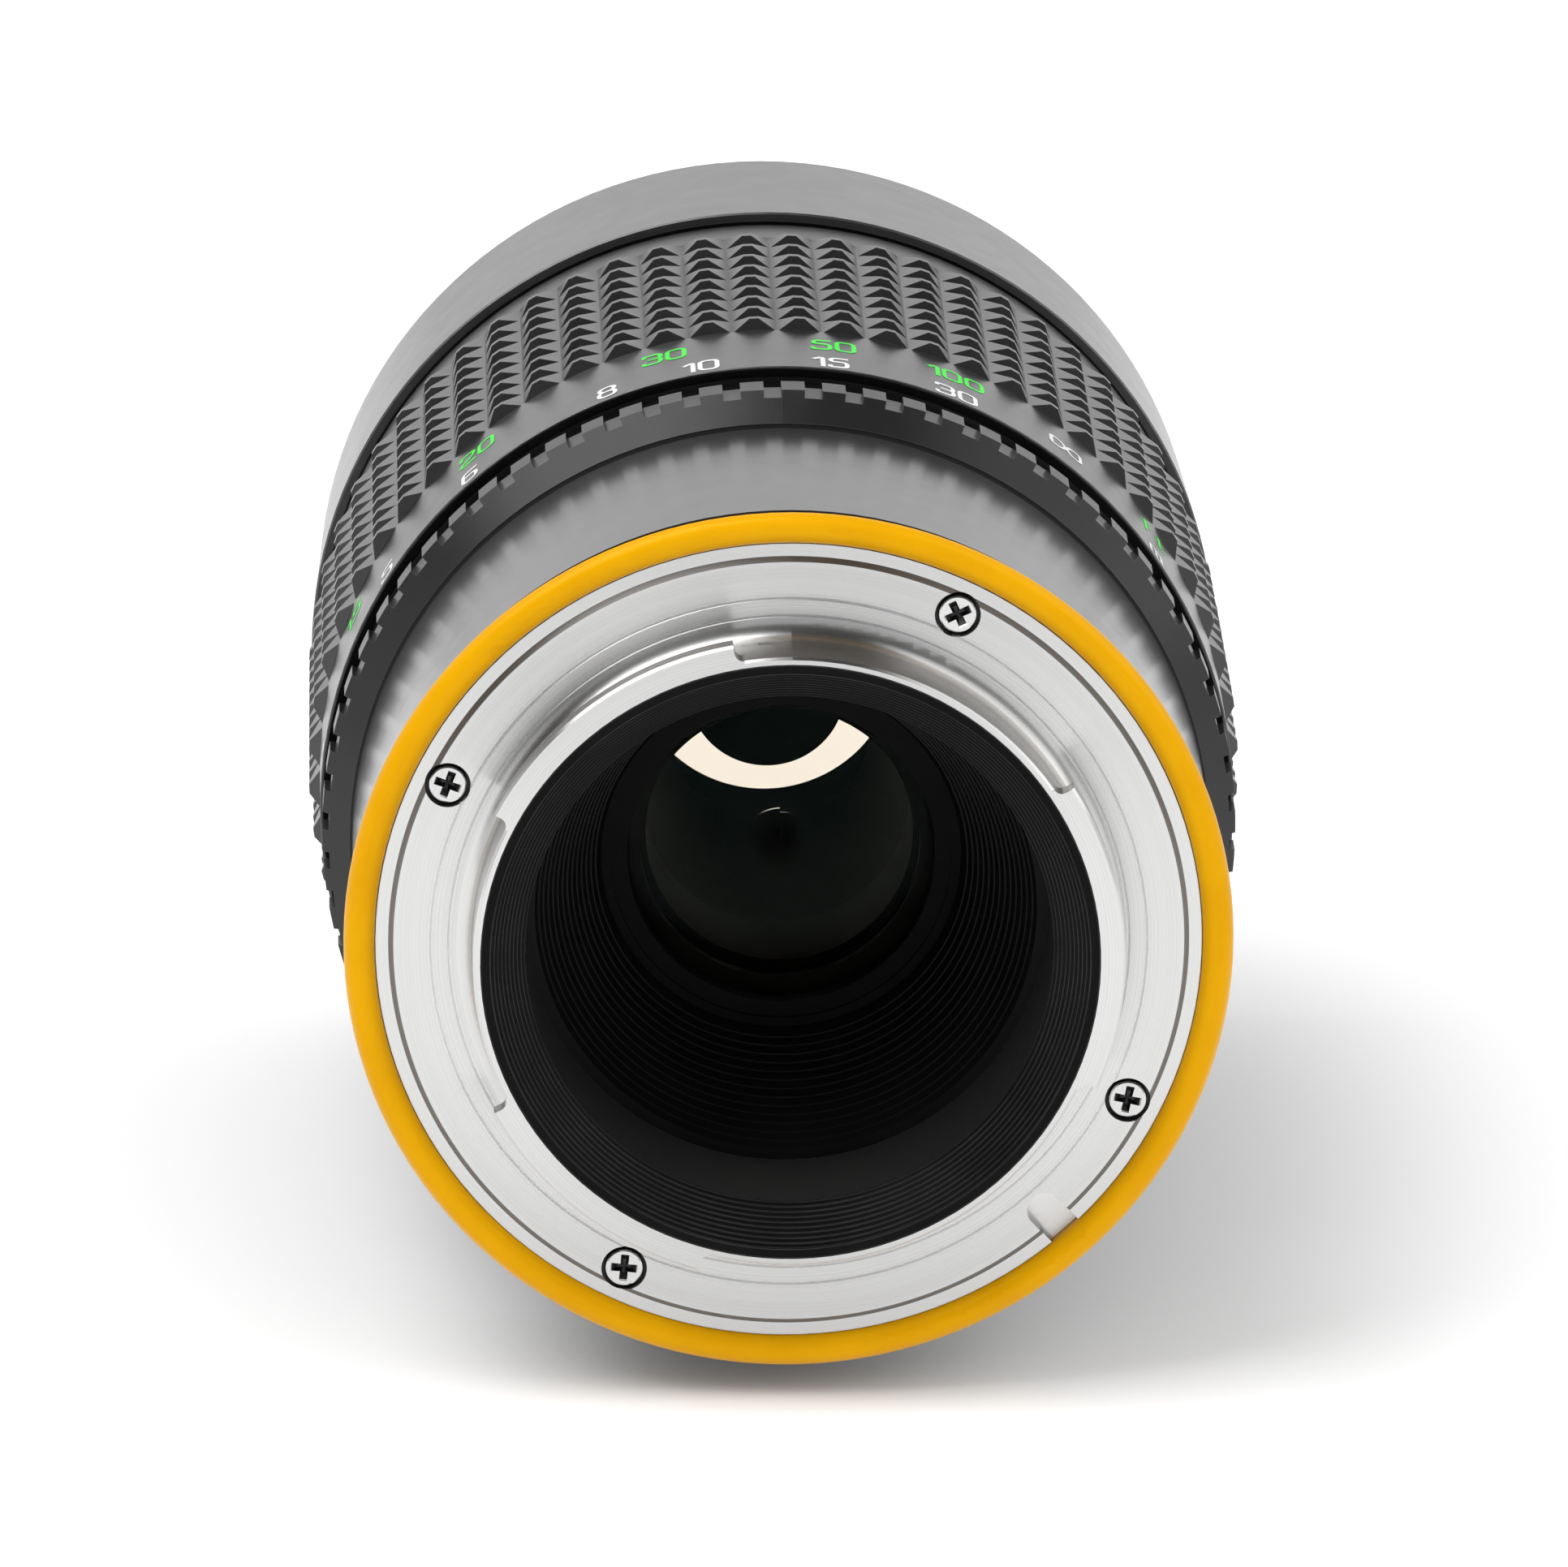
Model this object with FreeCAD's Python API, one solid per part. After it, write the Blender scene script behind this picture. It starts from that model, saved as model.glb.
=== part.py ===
import FreeCAD, Part
import math
import os
from FreeCAD import Vector

# Mirror telephoto lens with a metal bayonet, lying on its side. Millimetres.
# The optical axis is the Y axis, with the front of the lens at +Y and the
# bayonet at -Y, and +Z is up. The origin is the middle of the bayonet's seating
# face. Turned pieces are drawn as (radius, y) outlines and spun about Y. Clock
# angles are seen from the bayonet end: 0 is up and 90 is +X. The throat tube's
# radius drives every other radius, by way of the steps and walls named here.

# Fits and walls shared by many pieces
seat_clearance = 0.05
running_clearance = 0.10
air_gap = 0.30
thin_wall = 1.0

# Bayonet plate: throat tube, claws and flange
throat_tube_radius = 21.80
throat_tube_wall = 0.50
throat_tube_length = 4.84
throat_tube_fillet = 1.25
claw_height = 1.20
claw_thickness = 1.50
claw_bevel = 0.18
claw_root_fillet = 0.60
claw_spans_deg = ((-62.5, -10.3), (57.0, 113.0), (196.0, 242.0))
flange_width = 6.65
plate_thickness = 1.60
plate_ledge_width = 1.20
plate_ledge_drop = 0.30
plate_groove_offsets = (1.62, 2.85)
plate_groove_width = 0.20
plate_groove_depth = 0.12
lock_slot_deg = 137.3
lock_slot_width = 2.47
lock_slot_inset = 2.13
lock_slot_depth = 1.00

# Bayonet screws
mount_screw_deg = (25.9, 115.8, 205.5, 295.7)
mount_screw_slot_deg = (-25.0, 12.0, 5.0, 20.0)
mount_screw_inset = 2.37
mount_screw_head_radius = 1.32
mount_screw_head_height = 0.85
mount_screw_head_sink = 0.15
mount_screw_shank_radius = 0.85
mount_screw_length = 4.60
mount_screw_counterbore = 0.26
cross_slot_length = 1.86
cross_slot_width = 0.46
cross_slot_depth = 0.50

# Yellow accent ring
accent_width = 2.15
accent_thickness = 1.65
accent_rise = 0.45
accent_back_step = 0.25

# Rear barrel
barrel_step = 1.55
barrel_wall = 1.40
barrel_length = 24.55
barrel_boss_length = 5.60
barrel_boss_lip = 0.70
barrel_relief_depth = 0.30
barrel_relief_length = 2.10

# Castellated collar
collar_stop_length = 0.65
collar_stop_rise = 0.12
collar_length = 4.21
collar_rear_step = 0.30
collar_crest_step = 2.10
collar_cone_length = 1.91
collar_edge_chamfer = 0.12
collar_tooth_count = 70
collar_tooth_share = 0.57
collar_tooth_deg = 1.35
collar_notch_depth = 0.46

# Focusing ring: scale band, knurled grip and plain front strip
ring_gap = 3.40
band_step = 2.26
band_length = 9.82
band_edge_chamfer = 0.08
ring_lip_wall = 0.20
knurl_row_count = 9
knurl_column_count = 64
knurl_row_pitch = 2.89
knurl_crest_step = 0.80
knurl_depth = 0.94
knurl_crest_width = 0.66
knurl_crest_length = 0.55
knurl_step_run = 0.30
knurl_row_floor = 0.07
knurl_core_sink = 0.07
strip_length = 3.73
strip_inset = 0.10
ring_wall = 1.11

# Fixed inner barrel that the focusing ring turns on
index_band_inset = 1.26
bearing_inset = 2.66
bearing_setback = 0.43
spigot_length = 6.00
guide_tube_wall = 1.20
guide_tube_setback = 4.37
keeper_ring_width = 0.85
keeper_ring_length = 1.20

# Focus drive: nut ring in the grip, sliding front sleeve, its keys and stops
nut_setback = 3.87
nut_length = 17.50
nut_wall = 1.00
sleeve_lead = 0.50
sleeve_wall = 2.30
key_setback = 3.50
key_length = 14.00
key_width = 4.00
key_height = 0.90
key_groove_spare = 5.50
stop_setback = 5.19
stop_pin_radius = 1.00
stop_pin_reach = 1.10
stop_infinity_deg = 38.9
stop_near_deg = 205.0

# Front bell
bell_gap = 0.92
bell_length = 17.59
bell_step = 0.60
bell_taper = 0.57
bell_rim_round = 0.50
bell_edge_chamfer = 0.12
bell_skirt_wall = 0.66
bell_skirt_depth = 1.00
sleeve_seat_length = 5.00
filter_thread_wall = 1.29
filter_thread_length = 4.40
corrector_inset = 1.40
corrector_edge = 3.00
corrector_front_sphere = 150.0
corrector_rear_sphere = 165.0
corrector_seat_width = 1.20
corrector_ring_width = 1.90
corrector_ring_length = 1.50
spanner_slot_width = 2.00
spanner_slot_depth = 0.80

# Secondary mirror, held in the middle of the corrector
secondary_radius = 9.42
secondary_thickness = 3.00
secondary_sphere = 240.0
secondary_reach = 11.44
secondary_cell_wall = 0.90
secondary_flange_step = 1.90
secondary_flange_thickness = 0.80
secondary_stop_radius = 5.59
secondary_stop_length = 7.10
front_disc_overhang = 1.78
front_disc_thickness = 0.90

# Primary mirror with its cell and the baffle tube through its hole
mirror_seat_setback = 1.59
mirror_edge = 6.00
mirror_front_sphere = 170.0
mirror_rear_sphere = 250.0
mirror_hole_gap = 0.40
cell_web_thickness = 2.80
cell_wall = 0.80
mirror_ring_width = 1.20
mirror_ring_length = 1.60
baffle_tube_radius = 9.90
baffle_tube_wall = 0.60
baffle_tube_reach = 17.00
baffle_tube_taper = 2.20

# Rear lens group
rear_lens_radius = 11.30
rear_lens_thickness = 1.90
rear_lens_sphere = 140.0
rear_lens_lip = 0.50
rear_spacer_length = 0.90
rear_spacer_width = 1.52
rear_cell_wall = 2.25
rear_cell_length = 6.40
rear_cell_lip = 0.50
rear_ring_length = 0.60
rear_ring_inset = 1.00

# Throat insert and the funnel behind it
throat_face_inset = 1.20
throat_cone_fall = 2.41
throat_cone_depth = 3.10
throat_cone_setback = 0.25
throat_rib_count = 9
throat_flange_step = 1.50
throat_flange_thickness = 0.80
throat_insert_length = 12.84
throat_insert_wall = 1.00
funnel_step = 0.79
funnel_wall = 0.90
funnel_rib_count = 14
funnel_rib_face = 0.12

AXIS_START = Vector(0, 0, 0)
AXIS_LINE = Vector(0, 1, 0)
full_turn_deg = 360.0
same_point = 1e-6

# Radii, from the throat tube outwards
throat_tube_bore = throat_tube_radius - throat_tube_wall
claw_radius = throat_tube_radius + claw_height
plate_radius = throat_tube_radius + flange_width
plate_ledge_radius = plate_radius - plate_ledge_width
plate_seat_radius = plate_radius + seat_clearance
mount_screw_circle_radius = plate_radius - mount_screw_inset
accent_radius = plate_seat_radius + accent_width
barrel_radius = plate_radius + barrel_step
barrel_bore = barrel_radius - barrel_wall
collar_crest_radius = barrel_radius + collar_crest_step
band_radius = barrel_radius + band_step
knurl_crest_radius = band_radius + knurl_crest_step
knurl_valley_radius = knurl_crest_radius - knurl_depth
strip_radius = band_radius - strip_inset
bell_rear_radius = band_radius + bell_step
bell_front_radius = bell_rear_radius - bell_taper
filter_thread_radius = bell_front_radius - filter_thread_wall
corrector_radius = filter_thread_radius - corrector_inset
secondary_outer_radius = secondary_radius + seat_clearance + secondary_cell_wall

# Radii, from the focusing ring inwards
index_band_radius = band_radius - index_band_inset
bearing_radius = band_radius - bearing_inset
ring_bearing_bore = bearing_radius + running_clearance
ring_front_bore = strip_radius - ring_wall
nut_outer_radius = ring_front_bore - seat_clearance
nut_bore = nut_outer_radius - nut_wall
sleeve_radius = nut_bore - running_clearance
sleeve_bore = sleeve_radius - sleeve_wall
guide_tube_radius = sleeve_bore - running_clearance
guide_tube_bore = guide_tube_radius - guide_tube_wall
cell_outer_radius = guide_tube_bore - seat_clearance
cell_bore = cell_outer_radius - cell_wall
mirror_radius = cell_bore - seat_clearance
mirror_hole_radius = baffle_tube_radius + mirror_hole_gap
rear_cell_bore = rear_lens_radius + seat_clearance
rear_cell_radius = rear_cell_bore + rear_cell_wall
rear_lens_clear_radius = rear_lens_radius - rear_lens_lip
rear_ring_outer_radius = rear_cell_radius - rear_ring_inset
throat_face_radius = throat_tube_radius - throat_face_inset
throat_bore_radius = throat_face_radius - throat_cone_fall
throat_flange_radius = throat_tube_radius + throat_flange_step
funnel_rear_radius = throat_bore_radius - funnel_step

# Places along the axis, from the seating face at y = 0 to the front
mount_screw_seat_y = mount_screw_head_sink + mount_screw_head_height
boss_end_y = plate_thickness + barrel_boss_length
throat_insert_end_y = throat_insert_length - throat_tube_length
collar_rear_y = barrel_length + collar_stop_length
collar_front_y = collar_rear_y + collar_length
ring_rear_y = collar_front_y + ring_gap
knurl_start_y = ring_rear_y + band_length
knurl_end_y = knurl_start_y + knurl_row_count * knurl_row_pitch
ring_front_y = knurl_end_y + strip_length
bearing_end_y = knurl_start_y - bearing_setback
guide_tube_end_y = ring_front_y - guide_tube_setback
stop_y = ring_rear_y + stop_setback
nut_start_y = knurl_start_y + nut_setback
nut_end_y = nut_start_y + nut_length
sleeve_start_y = nut_start_y - sleeve_lead
key_start_y = nut_start_y + key_setback
key_end_y = key_start_y + key_length
key_groove_front_y = key_end_y + key_groove_spare
bell_rear_y = ring_front_y + bell_gap
bell_front_y = bell_rear_y + bell_length
filter_thread_end_y = bell_front_y - filter_thread_length
sleeve_end_y = bell_rear_y + sleeve_seat_length
corrector_seat_y = sleeve_end_y + thin_wall
corrector_front_y = corrector_seat_y + corrector_edge
mirror_seat_y = collar_front_y + mirror_seat_setback
mirror_front_y = mirror_seat_y + mirror_edge
web_rear_y = mirror_seat_y - cell_web_thickness
rear_cell_rear_y = web_rear_y - rear_cell_length
rear_cell_stop_y = web_rear_y - rear_cell_lip
rear_lens_sag = rear_lens_sphere - math.sqrt(rear_lens_sphere ** 2 - rear_lens_radius ** 2)
inner_lens_y = rear_cell_stop_y - rear_lens_thickness - rear_lens_sag
outer_lens_y = inner_lens_y - rear_spacer_length - rear_lens_thickness
rear_ring_rear_y = rear_cell_rear_y - rear_ring_length


def place(radius, y, clock=0.0):
    """Point at a radius, a y and a clock angle."""
    turn = math.radians(clock)
    return Vector(radius * math.sin(turn), y, radius * math.cos(turn))


def turned(outline, start_clock=0.0, span=full_turn_deg):
    """Spin an outline of (radius, y) corners about the optical axis.

    A corner written as (radius, y, middle_radius, middle_y) is reached by an
    arc through its middle point.
    """
    edges = []
    last = outline[0]
    for corner in outline[1:] + [outline[0][:2]]:
        start = place(last[0], last[1])
        end = place(corner[0], corner[1])
        if len(corner) == 4:
            middle = place(corner[2], corner[3])
            edges.append(Part.Arc(start, middle, end).toShape())
        elif start.distanceToPoint(end) > same_point:
            edges.append(Part.LineSegment(start, end).toShape())
        last = corner
    face = Part.Face(Part.Wire(edges))
    solid = face.revolve(AXIS_START, AXIS_LINE, span)
    if start_clock:
        solid.rotate(AXIS_START, AXIS_LINE, start_clock)
    return solid


def tube(inner_radius, outer_radius, start_y, end_y):
    return turned([(inner_radius, start_y), (outer_radius, start_y),
                   (outer_radius, end_y), (inner_radius, end_y)])


def block(width, low_radius, high_radius, start_y, end_y, clock=0.0):
    """Box across a clock angle, from one radius to another."""
    box = Part.makeBox(width, end_y - start_y, high_radius - low_radius,
                       Vector(-width / 2, start_y, low_radius))
    box.rotate(AXIS_START, AXIS_LINE, clock)
    return box


def rod(radius, start_y, end_y, circle_radius=0.0, clock=0.0):
    """Cylinder parallel to the optical axis."""
    return Part.makeCylinder(radius, end_y - start_y,
                             place(circle_radius, start_y, clock), AXIS_LINE)


def sag(sphere, radius):
    """Depth of a spherical surface at a radius from its middle."""
    return sphere - math.sqrt(sphere * sphere - radius * radius)


def save(shape, node):
    if not shape.isValid():
        raise ValueError(node + " is not a valid shape")
    shape.exportStep("parts/" + node + ".step")


def claw_root(end_clock, side):
    """Small concave corner where a claw's end meets the throat tube."""
    low_radius = throat_tube_radius - throat_tube_wall / 2
    high_radius = throat_tube_radius + claw_root_fillet
    turn = math.degrees(claw_root_fillet / throat_tube_radius)
    start_clock = end_clock if side > 0 else end_clock - turn
    end_y = claw_thickness - throat_tube_length
    corner = turned([
        (low_radius, -throat_tube_length), (high_radius, -throat_tube_length),
        (high_radius, end_y), (low_radius, end_y)], start_clock, turn)
    return corner.cut(rod(claw_root_fillet, -throat_tube_length, end_y,
                          high_radius, end_clock + side * turn))


def make_claw(first_clock, last_clock):
    """Claw of the bayonet, fused to the end of the throat tube."""
    low_radius = throat_tube_radius - throat_tube_wall / 2
    rear_y = -throat_tube_length
    claw = turned([
        (low_radius, rear_y), (claw_radius - claw_bevel, rear_y),
        (claw_radius, rear_y + claw_bevel), (claw_radius, rear_y + claw_thickness),
        (low_radius, rear_y + claw_thickness)], first_clock, last_clock - first_clock)
    return claw.fuse([claw_root(first_clock, -1), claw_root(last_clock, 1)])


def plate_groove(offset):
    """Shallow V turned into the seating face."""
    middle = throat_tube_radius + offset
    half = plate_groove_width / 2
    return turned([(middle - half, 0), (middle + half, 0), (middle, plate_groove_depth)])


def make_mount_plate():
    """Bayonet flange, throat tube and three claws, in one machined piece."""
    corner_radius = throat_tube_radius + throat_tube_fillet
    hollow = throat_tube_fillet * math.cos(math.radians(45))
    plate = turned([
        (throat_tube_bore, -throat_tube_length),
        (throat_tube_radius - claw_bevel, -throat_tube_length),
        (throat_tube_radius, claw_bevel - throat_tube_length),
        (throat_tube_radius, -throat_tube_fillet),
        (corner_radius, 0, corner_radius - hollow, hollow - throat_tube_fillet),
        (plate_ledge_radius, 0), (plate_ledge_radius + plate_ledge_drop, plate_ledge_drop),
        (plate_radius, plate_ledge_drop), (plate_radius, plate_thickness),
        (throat_tube_bore, plate_thickness)])
    for first_clock, last_clock in claw_spans_deg:
        plate = plate.fuse(make_claw(first_clock, last_clock))
    for offset in plate_groove_offsets:
        plate = plate.cut(plate_groove(offset))
    for clock in mount_screw_deg:
        hole = rod(mount_screw_shank_radius + seat_clearance, 0, plate_thickness,
                   mount_screw_circle_radius, clock)
        well = rod(mount_screw_head_radius + mount_screw_counterbore, 0,
                   mount_screw_seat_y, mount_screw_circle_radius, clock)
        plate = plate.cut(hole).cut(well)
    slot_radius = plate_radius - lock_slot_inset
    slot = block(lock_slot_width, slot_radius, plate_radius + thin_wall,
                 0, lock_slot_depth, lock_slot_deg)
    slot_end = rod(lock_slot_width / 2, 0, lock_slot_depth, slot_radius, lock_slot_deg)
    return plate.cut(slot.fuse(slot_end))


def make_mount_screw(clock, slot_turn):
    top_y = mount_screw_head_sink
    head = Part.makeCylinder(mount_screw_head_radius, mount_screw_head_height,
                             Vector(0, top_y, 0), AXIS_LINE)
    shank = Part.makeCylinder(mount_screw_shank_radius, mount_screw_length,
                              Vector(0, mount_screw_seat_y, 0), AXIS_LINE)
    screw = head.fuse(shank)
    for width, height in ((cross_slot_length, cross_slot_width),
                          (cross_slot_width, cross_slot_length)):
        screw = screw.cut(Part.makeBox(width, cross_slot_depth, height,
                                       Vector(-width / 2, top_y, -height / 2)))
    screw.rotate(AXIS_START, AXIS_LINE, slot_turn)
    screw.translate(place(mount_screw_circle_radius, 0, clock))
    return screw


def make_mount_screws():
    return Part.makeCompound([make_mount_screw(clock, slot_turn) for clock, slot_turn
                              in zip(mount_screw_deg, mount_screw_slot_deg)])


def make_accent_ring():
    """Round-backed yellow ring that hides the edge of the bayonet plate."""
    front_y = accent_thickness - accent_rise
    shoulder_y = front_y - accent_thickness / 2
    middle = plate_seat_radius + accent_width / 2
    quarter = math.radians(45)
    arc_in = accent_width / 2 * math.cos(quarter)
    arc_y = shoulder_y - accent_thickness / 2 * math.sin(quarter)
    return turned([
        (plate_seat_radius, front_y), (plate_seat_radius, shoulder_y),
        (middle, -accent_rise, middle - arc_in, arc_y),
        (accent_radius, shoulder_y, middle + arc_in, arc_y),
        (accent_radius - accent_back_step, front_y)])


def make_rear_barrel():
    """Outer shell from the yellow ring to under the collar."""
    rear_y = accent_thickness - accent_rise
    relief_y = rear_y + barrel_relief_length
    relief_radius = barrel_radius - barrel_relief_depth
    flange_seat = throat_flange_radius + seat_clearance
    flange_seat_y = plate_thickness + throat_flange_thickness + seat_clearance
    boss_bore = throat_flange_radius - barrel_boss_lip
    barrel = turned([
        (flange_seat, plate_thickness), (plate_seat_radius, plate_thickness),
        (plate_seat_radius, rear_y), (relief_radius, rear_y),
        (relief_radius, relief_y), (barrel_radius, relief_y),
        (barrel_radius, barrel_length), (barrel_bore, barrel_length),
        (barrel_bore, boss_end_y), (boss_bore, boss_end_y),
        (boss_bore, flange_seat_y), (flange_seat, flange_seat_y)])
    depth_y = mount_screw_seat_y + mount_screw_length + seat_clearance
    for clock in mount_screw_deg:
        barrel = barrel.cut(rod(mount_screw_shank_radius + seat_clearance,
                                plate_thickness, depth_y,
                                mount_screw_circle_radius, clock))
    return barrel


def make_throat_insert():
    """Black insert in the throat: a ribbed cone and a plain bore."""
    cone_rear_y = -throat_tube_length + throat_cone_setback
    cone_front_y = cone_rear_y + throat_cone_depth
    outline = [(throat_tube_bore - seat_clearance, -throat_tube_length),
               (throat_face_radius, -throat_tube_length),
               (throat_face_radius, cone_rear_y)]
    step_radius = (throat_face_radius - throat_bore_radius) / throat_rib_count
    step_y = throat_cone_depth / throat_rib_count
    for rib in range(throat_rib_count):
        low_radius = throat_face_radius - (rib + 1) * step_radius
        low_y = cone_rear_y + (rib + 0.5) * step_y
        outline.append((low_radius, low_y))
        outline.append((low_radius, low_y + 0.5 * step_y))
    flange_y = plate_thickness + throat_flange_thickness
    outer_radius = throat_bore_radius + throat_insert_wall
    outline += [
        (throat_bore_radius, throat_insert_end_y), (outer_radius, throat_insert_end_y),
        (outer_radius, flange_y),
        (throat_flange_radius, flange_y), (throat_flange_radius, plate_thickness),
        (throat_tube_bore - seat_clearance, plate_thickness)]
    return turned(outline)


def make_funnel():
    """Matt ribbed funnel from the throat insert to the rear lens cell."""
    front_y = rear_ring_rear_y - air_gap
    flange_radius = throat_bore_radius + throat_insert_wall
    flange_y = throat_insert_end_y + thin_wall
    fall = (funnel_rear_radius - rear_ring_outer_radius) / funnel_rib_count
    run = (front_y - throat_insert_end_y) / funnel_rib_count
    outline = [(funnel_rear_radius, throat_insert_end_y),
               (flange_radius, throat_insert_end_y), (flange_radius, flange_y),
               (funnel_rear_radius + funnel_wall, flange_y),
               (rear_ring_outer_radius + funnel_wall, front_y),
               (rear_ring_outer_radius, front_y)]
    for rib in range(1, funnel_rib_count):
        rib_radius = rear_ring_outer_radius + rib * fall
        rib_y = front_y - rib * run
        outline += [(rib_radius, rib_y), (rib_radius + funnel_rib_face, rib_y)]
    return turned(outline)


def make_collar():
    """Castellated collar that the lens is gripped by when it is mounted."""
    inner = barrel_radius + seat_clearance
    rear_radius = barrel_radius + collar_rear_step
    cone_end_y = collar_rear_y + collar_cone_length
    collar = turned([
        (inner, collar_rear_y), (rear_radius - collar_edge_chamfer, collar_rear_y),
        (rear_radius, collar_rear_y + collar_edge_chamfer),
        (collar_crest_radius, cone_end_y), (collar_crest_radius, collar_front_y),
        (inner, collar_front_y)])
    pitch = full_turn_deg / collar_tooth_count
    gap_clock = pitch * (1 - collar_tooth_share)
    width = 2 * collar_crest_radius * math.sin(math.radians(gap_clock / 2))
    floor_radius = collar_crest_radius - collar_notch_depth
    notches = [block(width, floor_radius, collar_crest_radius + thin_wall,
                     collar_rear_y, collar_front_y,
                     collar_tooth_deg + (number + 0.5) * pitch)
               for number in range(collar_tooth_count)]
    return collar.cut(Part.makeCompound(notches))


def make_inner_barrel():
    """Fixed barrel: spigot, collar stop, ring bearing and guide tube."""
    spigot_radius = barrel_bore - seat_clearance
    spigot_y = barrel_length - spigot_length
    bearing_y = ring_rear_y + air_gap
    barrel = turned([
        (guide_tube_bore, spigot_y), (spigot_radius, spigot_y),
        (spigot_radius, barrel_length), (barrel_radius, barrel_length),
        (barrel_radius + collar_stop_rise, collar_rear_y), (barrel_radius, collar_rear_y),
        (barrel_radius, collar_front_y), (index_band_radius, collar_front_y),
        (index_band_radius, bearing_y), (bearing_radius, bearing_y),
        (bearing_radius, bearing_end_y + keeper_ring_length),
        (guide_tube_radius, bearing_end_y + keeper_ring_length),
        (guide_tube_radius, guide_tube_end_y), (guide_tube_bore, guide_tube_end_y)])
    pin_half_turn = math.degrees(stop_pin_radius / bearing_radius)
    pin_room = pin_half_turn + math.degrees(air_gap / bearing_radius)
    groove_radius = bearing_radius - stop_pin_reach - air_gap
    groove_half = stop_pin_radius + air_gap
    rim = bearing_radius + thin_wall
    groove = turned([
        (groove_radius, stop_y - groove_half), (rim, stop_y - groove_half),
        (rim, stop_y + groove_half), (groove_radius, stop_y + groove_half)],
        -stop_infinity_deg - pin_room, stop_infinity_deg + stop_near_deg + 2 * pin_room)
    return barrel.cut(groove)


def make_keeper_ring():
    """Threaded ring that stops the focusing ring from coming forwards."""
    inner = bearing_radius + seat_clearance
    return tube(inner, inner + keeper_ring_width, bearing_end_y + running_clearance,
                bearing_end_y + keeper_ring_length)


def knurl_column():
    """One column of the grip: a bar of teeth, standing on the ring's core."""
    root_radius = knurl_valley_radius - thin_wall / 2
    floor = knurl_valley_radius + knurl_row_floor
    half_root = knurl_valley_radius * math.tan(math.pi / knurl_column_count)
    half_crest = knurl_crest_width / 2
    flare = (half_root - half_crest) / knurl_depth
    half_low = half_root + flare * (knurl_valley_radius - root_radius)
    bar = Part.Face(Part.makePolygon([
        Vector(-half_low, knurl_start_y, root_radius),
        Vector(half_low, knurl_start_y, root_radius),
        Vector(half_crest, knurl_start_y, knurl_crest_radius),
        Vector(-half_crest, knurl_start_y, knurl_crest_radius),
        Vector(-half_low, knurl_start_y, root_radius)]))
    bar = bar.extrude(Vector(0, knurl_end_y - knurl_start_y, 0))
    side = [(root_radius, knurl_start_y)]
    for row in range(knurl_row_count):
        foot_y = knurl_start_y + row * knurl_row_pitch
        crest_y = foot_y + knurl_step_run
        side += [(floor, foot_y), (knurl_crest_radius, crest_y),
                 (knurl_crest_radius, crest_y + knurl_crest_length)]
    side += [(floor, knurl_end_y), (root_radius, knurl_end_y), (root_radius, knurl_start_y)]
    teeth = Part.Face(Part.makePolygon([Vector(-half_low, y, r) for r, y in side]))
    return bar.common(teeth.extrude(Vector(2 * half_low, 0, 0)))


def make_focus_ring():
    """Focusing ring: plain scale band, pyramid grip and plain front strip."""
    lip_y = ring_rear_y + 2 * air_gap
    core_radius = knurl_valley_radius - knurl_core_sink
    core = turned([
        (ring_bearing_bore, lip_y), (index_band_radius + air_gap, lip_y),
        (band_radius - ring_lip_wall, ring_rear_y),
        (band_radius - band_edge_chamfer, ring_rear_y),
        (band_radius, ring_rear_y + band_edge_chamfer),
        (band_radius, knurl_start_y), (core_radius, knurl_start_y),
        (core_radius, knurl_end_y), (strip_radius, knurl_end_y),
        (strip_radius, ring_front_y), (ring_front_bore, ring_front_y),
        (ring_front_bore, bearing_end_y), (ring_bearing_bore, bearing_end_y)])
    column = knurl_column()
    columns = []
    for number in range(knurl_column_count):
        copy = column.copy()
        copy.rotate(AXIS_START, AXIS_LINE,
                    (number + 0.5) * full_turn_deg / knurl_column_count)
        columns.append(copy)
    ring = core.multiFuse(columns).removeSplitter()
    return ring.cut(stop_pin_rod(seat_clearance))


def stop_pin_rod(spare):
    """Radial pin in the focusing ring, at the top, for the end stops."""
    low = bearing_radius - stop_pin_reach
    high = band_radius - thin_wall + spare
    return Part.makeCylinder(stop_pin_radius + spare, high - low,
                             Vector(0, stop_y, low), Vector(0, 0, 1))


def make_nut_ring():
    """Brass ring with the drive thread, fixed inside the grip."""
    return tube(nut_bore, nut_outer_radius, nut_start_y, nut_end_y)


def make_front_sleeve():
    """Sliding sleeve that carries the front of the lens without turning."""
    sleeve = tube(sleeve_bore, sleeve_radius, sleeve_start_y, sleeve_end_y)
    for clock in (90, 270):
        groove = block(key_width + 2 * running_clearance, guide_tube_radius - thin_wall,
                       guide_tube_radius + key_height + air_gap,
                       sleeve_start_y, key_groove_front_y, clock)
        sleeve = sleeve.cut(groove)
    return sleeve


def make_guide_keys():
    """Two straight keys on the guide tube."""
    seat = rod(guide_tube_radius, key_start_y, key_end_y)
    keys = []
    for clock in (90, 270):
        key = block(key_width, guide_tube_radius - thin_wall,
                    guide_tube_radius + key_height, key_start_y, key_end_y, clock)
        keys.append(key.cut(seat))
    return Part.makeCompound(keys)


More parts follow.
